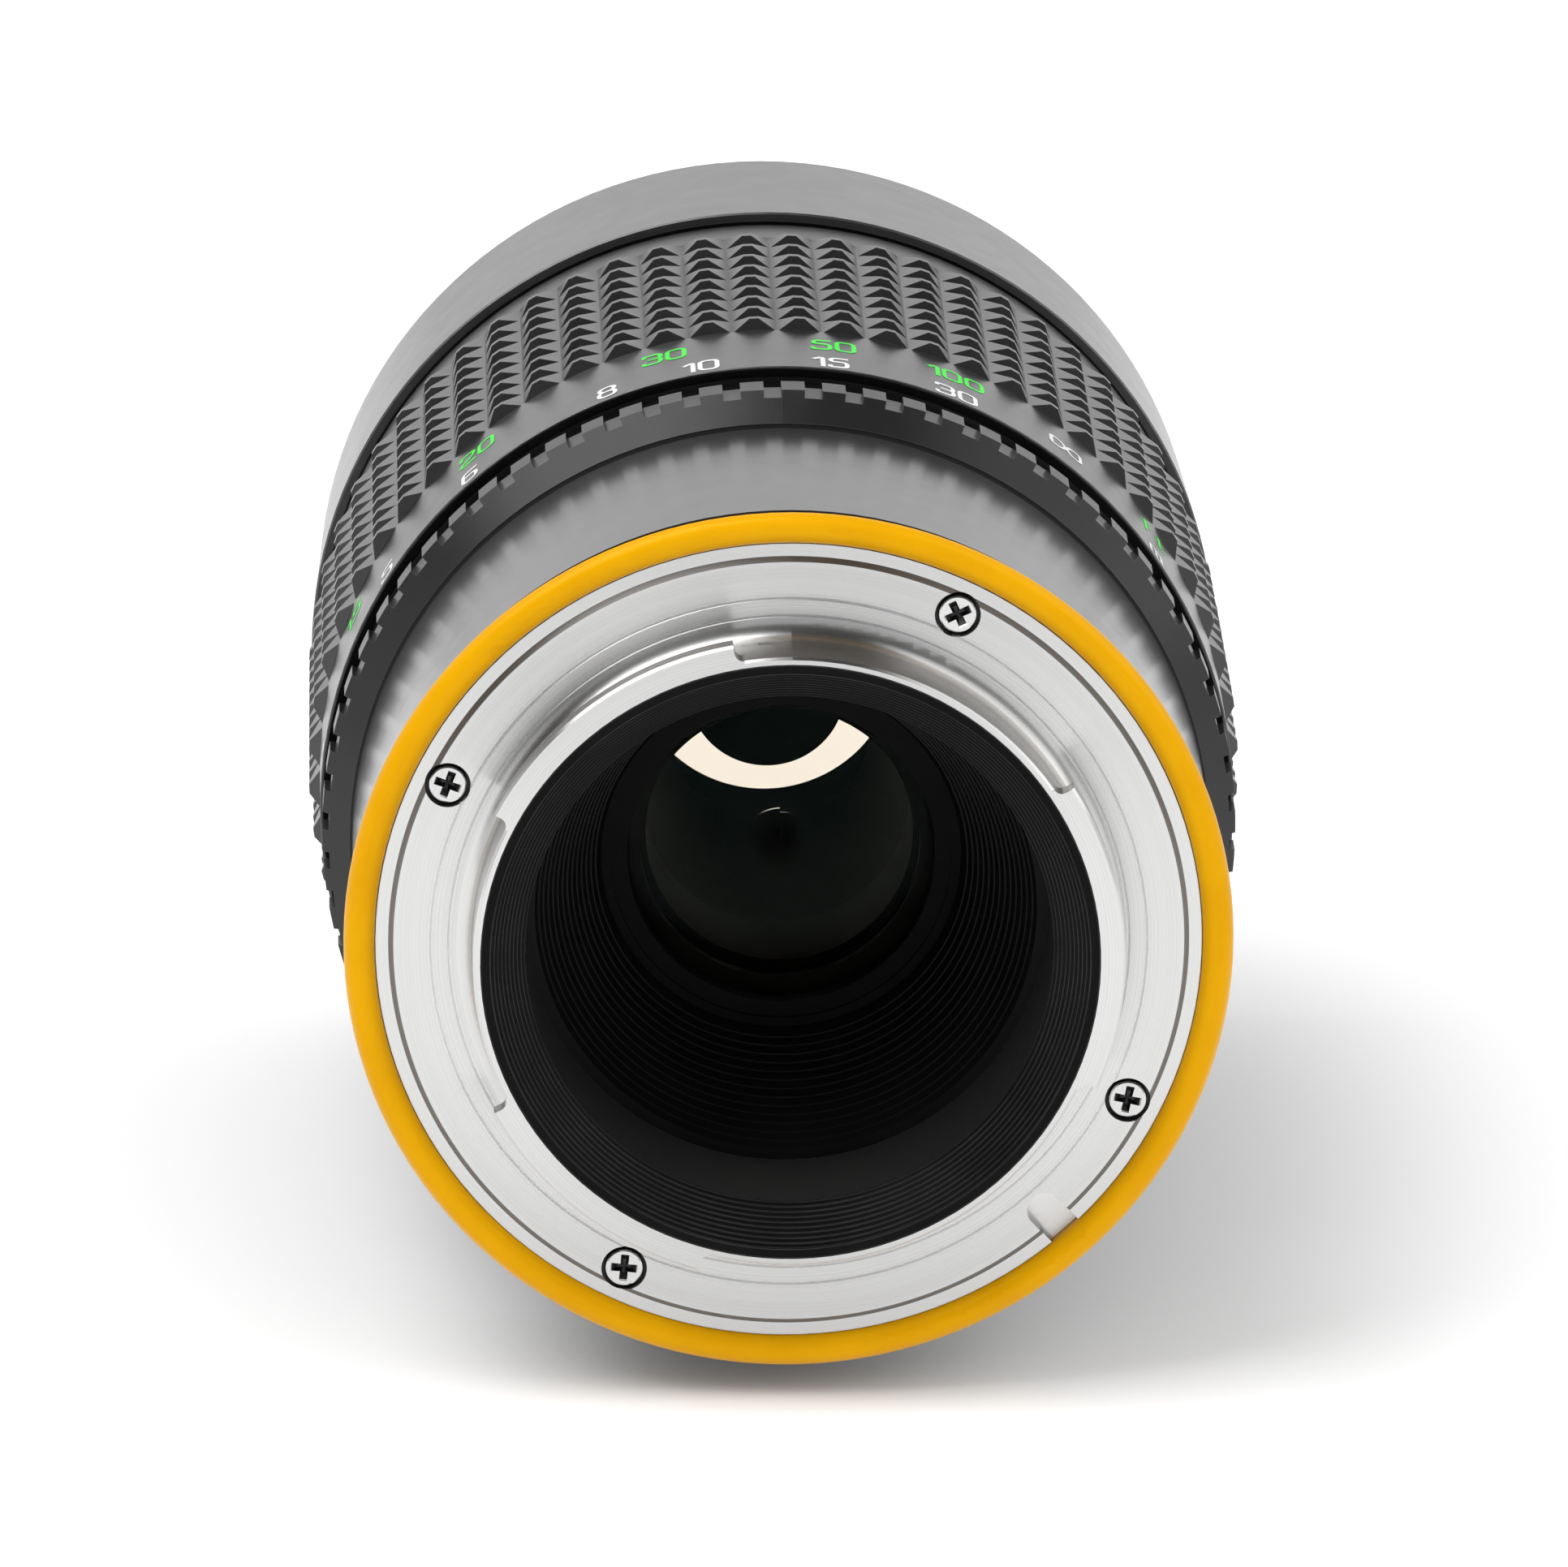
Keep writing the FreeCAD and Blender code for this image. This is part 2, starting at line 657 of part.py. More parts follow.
def make_front_bell():
    """Flared front shell with the filter thread and the corrector's seat."""
    sleeve_seat = sleeve_radius + seat_clearance
    glass_seat = corrector_radius + seat_clearance
    stop_radius = corrector_radius - corrector_seat_width
    skirt_bore = bell_rear_radius - bell_skirt_wall
    skirt_floor_y = bell_rear_y + bell_skirt_depth
    arc_in = bell_rim_round * (1 - math.cos(math.radians(45)))
    return turned([
        (sleeve_seat, skirt_floor_y), (skirt_bore, skirt_floor_y),
        (skirt_bore, bell_rear_y), (bell_rear_radius - bell_edge_chamfer, bell_rear_y),
        (bell_rear_radius, bell_rear_y + bell_edge_chamfer),
        (bell_front_radius, bell_front_y - bell_rim_round),
        (bell_front_radius - bell_rim_round, bell_front_y,
         bell_front_radius - arc_in, bell_front_y - arc_in),
        (filter_thread_radius, bell_front_y),
        (filter_thread_radius, filter_thread_end_y),
        (glass_seat, filter_thread_end_y), (glass_seat, corrector_seat_y),
        (stop_radius, corrector_seat_y), (stop_radius, sleeve_end_y),
        (sleeve_seat, sleeve_end_y)])


def make_corrector():
    """Front meniscus, hollow towards the mirror."""
    front_middle = corrector_front_y + sag(corrector_front_sphere, corrector_radius)
    rear_middle = corrector_seat_y + sag(corrector_rear_sphere, corrector_radius)
    half = corrector_radius / 2
    front_half = front_middle - sag(corrector_front_sphere, half)
    rear_half = rear_middle - sag(corrector_rear_sphere, half)
    return turned([
        (0, rear_middle), (0, front_middle),
        (corrector_radius, corrector_front_y, half, front_half),
        (corrector_radius, corrector_seat_y),
        (0, rear_middle, half, rear_half)])


def make_corrector_ring():
    """Front retaining ring with two spanner slots."""
    outer = corrector_radius
    inner = outer - corrector_ring_width
    seat_y = corrector_front_y + sag(corrector_front_sphere, corrector_radius)
    seat_y = seat_y - sag(corrector_front_sphere, inner)
    ring = tube(inner, outer, seat_y, seat_y + corrector_ring_length)
    for clock in (90, 270):
        ring = ring.cut(block(spanner_slot_width, inner - thin_wall,
                              inner + spanner_slot_depth,
                              corrector_front_y, bell_front_y, clock))
    return ring


def secondary_top_y():
    """Where the cell of the secondary mirror meets the corrector."""
    edge_y = corrector_seat_y + sag(corrector_rear_sphere, corrector_radius)
    return edge_y - sag(corrector_rear_sphere, secondary_outer_radius)


def secondary_face_y(radius):
    """Height of the secondary mirror's silvered face at a radius."""
    rim_y = secondary_top_y() - secondary_reach
    fall = sag(secondary_sphere, secondary_radius) - sag(secondary_sphere, radius)
    return rim_y - fall


def make_secondary_cell():
    """Flanged cup that carries the secondary mirror behind the corrector."""
    top_y = secondary_top_y()
    rim_y = secondary_face_y(secondary_radius)
    seat_y = secondary_face_y(0) + secondary_thickness + seat_clearance
    inner = secondary_radius + seat_clearance
    flange_radius = secondary_outer_radius + secondary_flange_step
    flange_y = rim_y + secondary_flange_thickness
    lip = secondary_radius - thin_wall
    return turned([
        (lip, top_y), (lip, seat_y), (inner, seat_y), (inner, rim_y),
        (flange_radius, rim_y), (flange_radius, flange_y),
        (secondary_outer_radius, flange_y), (secondary_outer_radius, top_y)])


def make_secondary_mirror():
    """Small convex mirror that looks back at the primary mirror."""
    back_y = secondary_face_y(0) + secondary_thickness
    half = secondary_radius / 2
    return turned([
        (0, back_y), (secondary_radius, back_y),
        (secondary_radius, secondary_face_y(secondary_radius)),
        (0, secondary_face_y(0), half, secondary_face_y(half))])


def make_secondary_stop():
    """Black light stop that stands on the middle of the secondary mirror."""
    radius = secondary_stop_radius
    half = radius / 2
    end_y = secondary_face_y(secondary_radius) - secondary_stop_length
    return turned([
        (0, end_y), (radius, end_y), (radius, secondary_face_y(radius)),
        (0, secondary_face_y(0), half, secondary_face_y(half))])


def make_front_disc():
    """Black disc on the front of the corrector, over the secondary mirror."""
    radius = secondary_radius + front_disc_overhang
    back_middle = corrector_front_y + sag(corrector_front_sphere, corrector_radius)
    front_y = back_middle + front_disc_thickness
    return turned([
        (0, back_middle), (0, front_y), (radius, front_y),
        (radius, back_middle - sag(corrector_front_sphere, radius)),
        (0, back_middle, radius / 2,
         back_middle - sag(corrector_front_sphere, radius / 2))])


def make_primary_cell():
    """Cup that holds the primary mirror inside the fixed barrel."""
    rim_y = mirror_front_y + mirror_ring_length
    bore = baffle_tube_radius + seat_clearance
    return turned([
        (bore, web_rear_y), (cell_outer_radius, web_rear_y),
        (cell_outer_radius, rim_y), (cell_bore, rim_y), (cell_bore, mirror_seat_y),
        (bore, mirror_seat_y)])


def make_primary_mirror():
    """Silvered ring of glass, hollow towards the front."""
    front_middle = mirror_front_y - sag(mirror_front_sphere, mirror_radius)
    middle = (mirror_radius + mirror_hole_radius) / 2
    hole_y = front_middle + sag(mirror_front_sphere, mirror_hole_radius)
    middle_y = front_middle + sag(mirror_front_sphere, middle)
    rear_y = mirror_seat_y
    rear_edge_y = rear_y + sag(mirror_rear_sphere, mirror_radius)
    rear_hole_y = rear_y + sag(mirror_rear_sphere, mirror_hole_radius)
    rear_middle_y = rear_y + sag(mirror_rear_sphere, middle)
    return turned([
        (mirror_hole_radius, rear_hole_y), (mirror_hole_radius, hole_y),
        (mirror_radius, mirror_front_y, middle, middle_y),
        (mirror_radius, rear_edge_y),
        (mirror_hole_radius, rear_hole_y, middle, rear_middle_y)])


def make_primary_ring():
    """Threaded ring that holds the mirror down in its cell."""
    return tube(mirror_radius - mirror_ring_width, mirror_radius,
                mirror_front_y + seat_clearance, mirror_front_y + mirror_ring_length)


def make_baffle_tube():
    """Tapered tube through the mirror's hole that keeps stray light out."""
    end_y = mirror_front_y + baffle_tube_reach
    end_radius = baffle_tube_radius - baffle_tube_taper
    return turned([
        (baffle_tube_radius - baffle_tube_wall, web_rear_y),
        (baffle_tube_radius, web_rear_y), (baffle_tube_radius, mirror_front_y),
        (end_radius, end_y), (end_radius - baffle_tube_wall, end_y),
        (baffle_tube_radius - baffle_tube_wall, mirror_front_y)])


def rear_lens(rear_y):
    """Thin meniscus lens, hollow towards the front."""
    edge_y = rear_y + rear_lens_sag
    half = rear_lens_radius / 2
    half_y = rear_y + sag(rear_lens_sphere, half)
    thick = rear_lens_thickness
    return turned([
        (0, rear_y), (0, rear_y + thick),
        (rear_lens_radius, edge_y + thick, half, half_y + thick),
        (rear_lens_radius, edge_y), (0, rear_y, half, half_y)])


def make_rear_cell():
    """Tube behind the mirror cell that holds the two rear lenses."""
    return turned([
        (rear_cell_bore, rear_cell_rear_y), (rear_cell_radius, rear_cell_rear_y),
        (rear_cell_radius, web_rear_y), (rear_lens_clear_radius, web_rear_y),
        (rear_lens_clear_radius, rear_cell_stop_y), (rear_cell_bore, rear_cell_stop_y)])


def make_rear_spacer():
    """Thin ring between the two rear lenses, out at their edges."""
    inner = rear_lens_radius - rear_spacer_width
    rear_y = outer_lens_y + rear_lens_thickness + rear_lens_sag
    front_y = inner_lens_y + sag(rear_lens_sphere, inner)
    return tube(inner, rear_lens_radius, rear_y, front_y)


def make_rear_ring():
    """Threaded retaining ring round the rear lens, with a stepped mouth."""
    lens_face_y = outer_lens_y + sag(rear_lens_sphere, rear_lens_clear_radius)
    mouth_radius = (rear_lens_radius + rear_ring_outer_radius) / 2
    mouth_y = rear_ring_rear_y + rear_ring_length / 2
    return turned([
        (mouth_radius, rear_ring_rear_y), (rear_ring_outer_radius, rear_ring_rear_y),
        (rear_ring_outer_radius, rear_cell_rear_y),
        (rear_lens_radius, rear_cell_rear_y), (rear_lens_radius, lens_face_y),
        (rear_lens_clear_radius, lens_face_y), (rear_lens_clear_radius, mouth_y),
        (mouth_radius, mouth_y)])


os.makedirs("parts", exist_ok=True)
save(make_mount_plate(), "mount_plate")
save(make_mount_screws(), "mount_screws")
save(make_accent_ring(), "accent_ring")
save(make_rear_barrel(), "rear_barrel")
save(make_throat_insert(), "throat_insert")
save(make_funnel(), "light_funnel")
save(make_collar(), "castellated_collar")
save(make_inner_barrel(), "inner_barrel")
save(make_keeper_ring(), "keeper_ring")
save(make_focus_ring(), "focus_ring")
save(stop_pin_rod(0), "stop_pin")
save(make_nut_ring(), "drive_nut")
save(make_front_sleeve(), "front_sleeve")
save(make_guide_keys(), "guide_keys")
save(make_front_bell(), "front_bell")
save(make_corrector(), "corrector_lens")
save(make_corrector_ring(), "corrector_ring")
save(make_secondary_cell(), "secondary_cell")
save(make_secondary_mirror(), "secondary_mirror")
save(make_secondary_stop(), "secondary_stop")
save(make_front_disc(), "front_disc")
save(make_primary_cell(), "primary_cell")
save(make_primary_mirror(), "primary_mirror")
save(make_primary_ring(), "primary_ring")
save(make_baffle_tube(), "baffle_tube")
save(make_rear_cell(), "rear_cell")
save(rear_lens(inner_lens_y), "inner_rear_lens")
save(rear_lens(outer_lens_y), "outer_rear_lens")
save(make_rear_spacer(), "rear_spacer")
save(make_rear_ring(), "rear_ring")
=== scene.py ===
import math

import bmesh
import bpy
from mathutils import Matrix, Vector


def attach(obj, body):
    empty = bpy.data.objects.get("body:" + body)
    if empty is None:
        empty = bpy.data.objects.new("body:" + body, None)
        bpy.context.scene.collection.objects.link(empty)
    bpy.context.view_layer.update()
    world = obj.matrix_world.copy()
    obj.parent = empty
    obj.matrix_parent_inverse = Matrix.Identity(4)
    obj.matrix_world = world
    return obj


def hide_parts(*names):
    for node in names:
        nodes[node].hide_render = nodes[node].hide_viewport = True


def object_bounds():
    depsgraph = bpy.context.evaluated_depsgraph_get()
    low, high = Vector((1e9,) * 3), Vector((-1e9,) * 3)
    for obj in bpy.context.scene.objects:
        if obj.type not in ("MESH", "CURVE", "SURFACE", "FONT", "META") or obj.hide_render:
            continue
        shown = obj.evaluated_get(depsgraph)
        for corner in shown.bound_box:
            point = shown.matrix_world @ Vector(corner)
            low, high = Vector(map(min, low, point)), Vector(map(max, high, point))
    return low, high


# A mirror telephoto lens lying on its side. Metres, in the frame of the packed
# part: the optical axis is Y with the bayonet at -Y, and Z is up. Clock angles
# are seen from the bayonet end: 0 is up and 90 is +X.
MM = 0.001

# Camera, solved from the rings of the lens in the 1932 x 1931 photograph
CAMERA_PLACE = Vector((-0.03230, -1.16247, 0.35400))
CAMERA_LENS = 405.58
CAMERA_RIGHT = Vector((0.99965, -0.02522, 0.00743))
CAMERA_UP = Vector((0.0, 0.28267, 0.95922))
SENSOR_WIDTH = 36.0
CLIP_START = 0.01

# Distance scale on the focusing ring
INFINITY_CLOCK = 38.93
CLOCK_PER_DIOPTRE = 488.0
METRES = (30, 15, 10, 8, 6, 5, 4, 3, 2.5, 2)
FEET = (100, 50, 30, 20, 15, 12, 10, 8, 7)
METRES_PER_FOOT = 0.3048
METRE_ROW = 34.60 * MM
FOOT_ROW = 39.10 * MM
INFINITY_ROW = 37.10 * MM
UNIT_CLOCK = 55.5
DIGIT_WIDTH = 1.21 * MM
DIGIT_HEIGHT = 2.30 * MM
DIGIT_STROKE = 0.34 * MM
DIGIT_GAP = 0.50 * MM
PAINT_LIFT = 0.015 * MM
BAND_RADIUS = 32.26 * MM

# Coated optics reflect far less than bare glass, and what they pass is warm
COATED_GLASS_TINT = (0.012, 0.022, 0.022)
LENS_COLOUR = (0.955, 0.922, 0.870)

# Convex edges painted lighter, as painted edge highlights with a little wear: how far
# this reaches, how well the true and the softened normal agree where it starts and
# where it is full, and how patchy it is
LIT_WEAR_REACH = 0.12 * MM
LIT_WEAR_START = 0.995
LIT_WEAR_FULL = 0.93
LIT_WEAR_PATCHES = 260.0

# Noise scales, per metre: paint that is rubbed, sheen, grain, and a lathe's cuts
RUBBED_SCALE = 160.0
SHEEN_SCALE = 420.0
GRAIN_SCALE = 9000.0
LATHE_FINE_SCALE = 9000.0
LATHE_BROAD_SCALE = 700.0
SCALE_PAINT_SCALE = 2500.0
COARSE_CUT_ROUGHNESS = 0.45
# A quarter turn, because turned metal spreads light across its ring cuts
ACROSS_THE_CUTS = 0.25

# Rings on the bayonet plate where the cut is coarse, with painted light: painted shade on
# the ledge round the flange, painted highlights in two grooves; and the places on the axis
# where the matt floor of the slot begins and where the insert's bore is painted paler, as
# painted light
LEDGE_BAND = (27.22 * MM, 27.58 * MM)
GROOVE_BANDS = ((23.31 * MM, 23.53 * MM), (24.54 * MM, 24.76 * MM))
SLOT_FLOOR_Y = 0.93 * MM
INSERT_BORE_Y = -1.45 * MM

# The Mix node's sockets for colours and for plain numbers share their names, so
# they are taken by place
MIX_COLOUR_A = 6
MIX_COLOUR_B = 7
MIX_COLOUR_OUT = 2
MIX_NUMBER_A = 2
MIX_NUMBER_B = 3
MIX_NUMBER_OUT = 0

# Filter thread: ridges inside the front rim
THREAD_BACK = 31.05 * MM
THREAD_ROOT = 30.98 * MM
THREAD_CREST = 30.62 * MM
THREAD_PITCH = 0.75 * MM
THREAD_CREST_SPAN = (0.44, 0.56)
THREAD_START_Y = 86.62 * MM
THREAD_RIDGES = 5
THREAD_STEPS = 160

# Bayonet screws: where they sit, how each is turned, and the shape of a head
SCREW_CIRCLE = 26.08 * MM
SCREW_CLOCKS = (25.9, 115.8, 205.5, 295.7)
SCREW_TURNS = (-25.0, 12.0, 5.0, 20.0)
SCREW_RADIUS = 1.32 * MM
SCREW_WELL = 1.57 * MM
SCREW_SHANK = 0.85 * MM
SCREW_TIP = 0.55 * MM
SCREW_TIP_LENGTH = 0.3 * MM
SCREW_WASHER = 0.08 * MM
SCREW_EDGE = 0.13 * MM
SCREW_TOP_Y = 0.15 * MM
SCREW_SEAT_Y = 0.99 * MM
SCREW_TIP_Y = 5.55 * MM
# Depth past which the screws' metal is painted near black: painted shade in the recess and
# round the head
SCREW_SHADE_Y = 0.24 * MM
WING_LENGTH = 0.95 * MM
WING_HALF_WIDTH = 0.27 * MM
WING_FLARE = 0.10
WING_ANGLES = (-45, -37, -30, -25, -20, -17, -12, -6, 0, 6, 12, 17, 20, 25, 30, 37)
# The recess, from its mouth down: share of the wings' size, and depth
RECESS = ((1.0, 0.0), (0.93, 0.06 * MM), (0.52, 0.48 * MM), (0.02, 0.56 * MM))

# Studio: a white backdrop past the front of the lens, which darkens up to the
# ceiling and round to the open side, along CEILING_WAY. The floor's lift fades
# within FLOOR_SHADE_REACH of the lens, which keeps the contact shadow dark.
FLOOR_HALF = 6.0
FLOOR_LIFT = 0.28
FLOOR_SHADE_REACH = 0.13
WORLD_LIGHT = 0.42
CEILING_WAY = (0.0, -0.80, 1.0)
BACKDROP_TOP = 0.32
CEILING_START = 0.80
CEILING_LIGHT = 0.06
LAMP_TARGET = Vector((0, 0.04, 0))
# Square lamps: place, side, power in watts, and whether gloss shows them
LAMPS = {
    "left_box": (Vector((-0.62, -0.35, 1.15)), 1.0, 13, True),
    "right_box": (Vector((0.95, -0.35, 0.75)), 1.1, 5, True),
    "fill": (Vector((0.3, -1.3, 0.7)), 1.0, 3, False),
}

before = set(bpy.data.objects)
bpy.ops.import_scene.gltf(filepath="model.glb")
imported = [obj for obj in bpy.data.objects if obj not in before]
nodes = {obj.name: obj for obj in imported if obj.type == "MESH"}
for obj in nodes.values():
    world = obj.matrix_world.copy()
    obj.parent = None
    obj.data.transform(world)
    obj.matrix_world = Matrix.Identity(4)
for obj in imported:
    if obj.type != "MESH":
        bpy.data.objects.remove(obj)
cad_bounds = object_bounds()


def node_tree(name):
    """New material with one shader, as (material, node tree, shader)."""
    material = bpy.data.materials.new(name)
    material.use_nodes = True
    tree = material.node_tree
    tree.nodes.clear()
    output = tree.nodes.new("ShaderNodeOutputMaterial")
    shader = tree.nodes.new("ShaderNodeBsdfPrincipled")
    tree.links.new(shader.outputs["BSDF"], output.inputs["Surface"])
    return material, tree, shader


def grey(value):
    return (value, value, value)


def add(tree, kind, **values):
    """New node with its settings."""
    node = tree.nodes.new(kind)
    for key, value in values.items():
        setattr(node, key, value)
    return node


def noise(tree, scale, detail=3.0, source=None):
    """Noise from 0 to 1 over the object, or over another vector."""
    texture = add(tree, "ShaderNodeTexNoise")
    texture.inputs["Scale"].default_value = scale
    texture.inputs["Detail"].default_value = detail
    if source is None:
        source = add(tree, "ShaderNodeTexCoord").outputs["Object"]
    tree.links.new(source, texture.inputs["Vector"])
    return texture.outputs["Fac"]


def spread(tree, value, low, high):
    """Map 0..1 to low..high."""
    scale = add(tree, "ShaderNodeMapRange")
    scale.inputs["To Min"].default_value = low
    scale.inputs["To Max"].default_value = high
    tree.links.new(value, scale.inputs["Value"])
    return scale.outputs["Result"]


def between(tree, value, low, high):
    """Colour that runs from low to high with a value."""
    ramp = add(tree, "ShaderNodeValToRGB")
    ramp.color_ramp.elements[0].color = (*low, 1)
    ramp.color_ramp.elements[1].color = (*high, 1)
    ramp.color_ramp.elements[0].position = 0.3
    ramp.color_ramp.elements[1].position = 0.7
    tree.links.new(value, ramp.inputs["Fac"])
    return ramp.outputs["Color"]


def product(tree, first, second):
    node = add(tree, "ShaderNodeMath", operation="MULTIPLY")
    tree.links.new(first, node.inputs[0])
    tree.links.new(second, node.inputs[1])
    return node.outputs[0]


def with_number(tree, value, operation, number):
    """One maths step between a value and a fixed number."""
    node = add(tree, "ShaderNodeMath", operation=operation)
    tree.links.new(value, node.inputs[0])
    node.inputs[1].default_value = number
    return node.outputs[0]


def mixed_colour(tree, factor, colour, other):
    """Colour that runs to a fixed other one with a factor."""
    mix = add(tree, "ShaderNodeMix", data_type="RGBA")
    tree.links.new(factor, mix.inputs["Factor"])
    tree.links.new(colour, mix.inputs[MIX_COLOUR_A])
    mix.inputs[MIX_COLOUR_B].default_value = (*other, 1)
    return mix.outputs[MIX_COLOUR_OUT]


def mixed_number(tree, factor, value, other):
    """Value that runs to a fixed other one with a factor."""
    mix = add(tree, "ShaderNodeMix", data_type="FLOAT")
    tree.links.new(factor, mix.inputs["Factor"])
    tree.links.new(value, mix.inputs[MIX_NUMBER_A])
    mix.inputs[MIX_NUMBER_B].default_value = other
    return mix.outputs[MIX_NUMBER_OUT]


def bump(tree, shader, height, distance):
    node = add(tree, "ShaderNodeBump")
    node.inputs["Distance"].default_value = distance
    node.inputs["Strength"].default_value = 1.0
    tree.links.new(height, node.inputs["Height"])
    tree.links.new(node.outputs["Normal"], shader.inputs["Normal"])


def axis_radius(tree):
    """Distance from the optical axis, as a vector for a ring pattern."""
    place = add(tree, "ShaderNodeTexCoord").outputs["Object"]
    flat = add(tree, "ShaderNodeVectorMath", operation="MULTIPLY")
    flat.inputs[1].default_value = (1, 0, 1)
    tree.links.new(place, flat.inputs[0])
    length = add(tree, "ShaderNodeVectorMath", operation="LENGTH")
    tree.links.new(flat.outputs["Vector"], length.inputs[0])
    vector = add(tree, "ShaderNodeCombineXYZ")
    tree.links.new(length.outputs["Value"], vector.inputs["X"])
    return vector.outputs["Vector"]


def edge_wear(tree, colour, lit_worn_colour):
    """Colour with its convex edges painted lighter in patches: painted edge highlights,
    with a little wear.
    """
    soft = add(tree, "ShaderNodeBevel", samples=4)
    soft.inputs["Radius"].default_value = LIT_WEAR_REACH
    flat = add(tree, "ShaderNodeNewGeometry")
    alike = add(tree, "ShaderNodeVectorMath", operation="DOT_PRODUCT")
    tree.links.new(soft.outputs["Normal"], alike.inputs[0])
    tree.links.new(flat.outputs["Normal"], alike.inputs[1])
    edge = add(tree, "ShaderNodeMapRange")
    edge.inputs["From Min"].default_value = LIT_WEAR_START
    edge.inputs["From Max"].default_value = LIT_WEAR_FULL
    tree.links.new(alike.outputs["Value"], edge.inputs["Value"])
    patches = spread(tree, noise(tree, LIT_WEAR_PATCHES, 4.0), 0.15, 0.75)
    return mixed_colour(tree, product(tree, edge.outputs["Result"], patches), colour, lit_worn_colour)


def place_parts(tree, vector):
    parts = add(tree, "ShaderNodeSeparateXYZ")
    tree.links.new(vector, parts.inputs[0])
    return parts


def band_mask(tree, inner, outer):
    """1 between two distances from the optical axis, else 0."""
    radius = place_parts(tree, axis_radius(tree)).outputs["X"]
    return product(tree, with_number(tree, radius, "GREATER_THAN", inner),
                   with_number(tree, radius, "LESS_THAN", outer))


def behind_mask(tree, y):
    """1 past a place on the optical axis, else 0."""
    place = place_parts(tree, add(tree, "ShaderNodeTexCoord").outputs["Object"])
    return with_number(tree, place.outputs["Y"], "GREATER_THAN", y)


def satin_paint(name, low, high, rough, specular, coat=0.0, depth=0.004 * MM, lit_worn_colour=None,
                tint=None, painted_light_behind=None):
    """Fine-grained satin paint or anodising, with painted edge highlights and a little
    wear.

    The last argument is (place on the axis, colour): past it the paint is paler, as painted
    light.
    """
    material, tree, shader = node_tree(name)
    colour = between(tree, noise(tree, RUBBED_SCALE, 6.0), low, high)
    # Painted light: the paint is paler past a place on the axis
    if painted_light_behind is not None:
        place, painted_light_colour = painted_light_behind
        colour = mixed_colour(tree, behind_mask(tree, place), colour, painted_light_colour)
    if lit_worn_colour is not None:
        colour = edge_wear(tree, colour, lit_worn_colour)
    tree.links.new(colour, shader.inputs["Base Color"])
    if tint is not None:
        shader.inputs["Specular Tint"].default_value = (*tint, 1)
    sheen = spread(tree, noise(tree, SHEEN_SCALE, 5.0), rough - 0.05, rough + 0.05)
    tree.links.new(sheen, shader.inputs["Roughness"])
    shader.inputs["Specular IOR Level"].default_value = specular
    shader.inputs["Coat Weight"].default_value = coat
    shader.inputs["Coat Roughness"].default_value = rough * 0.8
    bump(tree, shader, noise(tree, GRAIN_SCALE, 2.0), depth)
    return material


def turned_metal(name, low, high, rough, depth=0.0016 * MM, brushed=0.0, painted_light_cut_bands=(),
                 floor_and_shade_behind=None):
    """Bright metal with the fine rings that a lathe leaves.

    Each band is ((inner, outer), colour), two radii where the cut is coarse and the colour
    is painted light: painted shade on the ledge, painted highlights in the grooves. The
    last
    argument is (place on the axis, colour): past it the cutter left a matt floor, and on
    the screws the colour is painted shade in the recess and round the head.
    """
    material, tree, shader = node_tree(name)
    shader.inputs["Metallic"].default_value = 1.0
    shader.inputs["Anisotropic"].default_value = brushed
    ring = noise(tree, LATHE_FINE_SCALE, 3.0, axis_radius(tree))
    broad = noise(tree, LATHE_BROAD_SCALE, 2.0, axis_radius(tree))
    colour = between(tree, ring, low, high)
    roughness = spread(tree, broad, rough - 0.05, rough + 0.07)
    marks = [(band_mask(tree, *band), second_colour) for band, second_colour in painted_light_cut_bands]
    if floor_and_shade_behind is not None:
        place, second_colour = floor_and_shade_behind
        marks.append((behind_mask(tree, place), second_colour))
    for mark, second_colour in marks:
        colour = mixed_colour(tree, mark, colour, second_colour)
        roughness = mixed_number(tree, mark, roughness, COARSE_CUT_ROUGHNESS)
    tree.links.new(colour, shader.inputs["Base Color"])
    tree.links.new(roughness, shader.inputs["Roughness"])
    if brushed:
        tangent = add(tree, "ShaderNodeTangent", direction_type="RADIAL", axis="Y")
        tree.links.new(tangent.outputs["Tangent"], shader.inputs["Tangent"])
        shader.inputs["Anisotropic Rotation"].default_value = ACROSS_THE_CUTS
    bump(tree, shader, ring, depth)
    return material


def glass(name, colour):
    """Clear coated glass, with a trace of haze here and there."""
    material, tree, shader = node_tree(name)
    shader.inputs["Transmission Weight"].default_value = 1.0
    shader.inputs["Base Color"].default_value = (*colour, 1)
    shader.inputs["IOR"].default_value = 1.5
    shader.inputs["Specular Tint"].default_value = (*COATED_GLASS_TINT, 1)
    haze = spread(tree, noise(tree, 60.0), 0.0, 0.01)
    tree.links.new(haze, shader.inputs["Roughness"])
    return material


def mirror(name):
    """Silvering on glass."""
    material, tree, shader = node_tree(name)
    shader.inputs["Metallic"].default_value = 1.0
    shader.inputs["Roughness"].default_value = 0.02
    colour = between(tree, noise(tree, 40.0), grey(0.95), grey(0.97))
    tree.links.new(colour, shader.inputs["Base Color"])
    return material


def scale_paint(name, colour, rough):
    """Thick paint of the engraved scale, a little uneven."""
    material, tree, shader = node_tree(name)
    second_colour = tuple(0.86 * part for part in colour)
    uneven = between(tree, noise(tree, SCALE_PAINT_SCALE), second_colour, colour)
    tree.links.new(uneven, shader.inputs["Base Color"])
    shader.inputs["Roughness"].default_value = rough
    return material
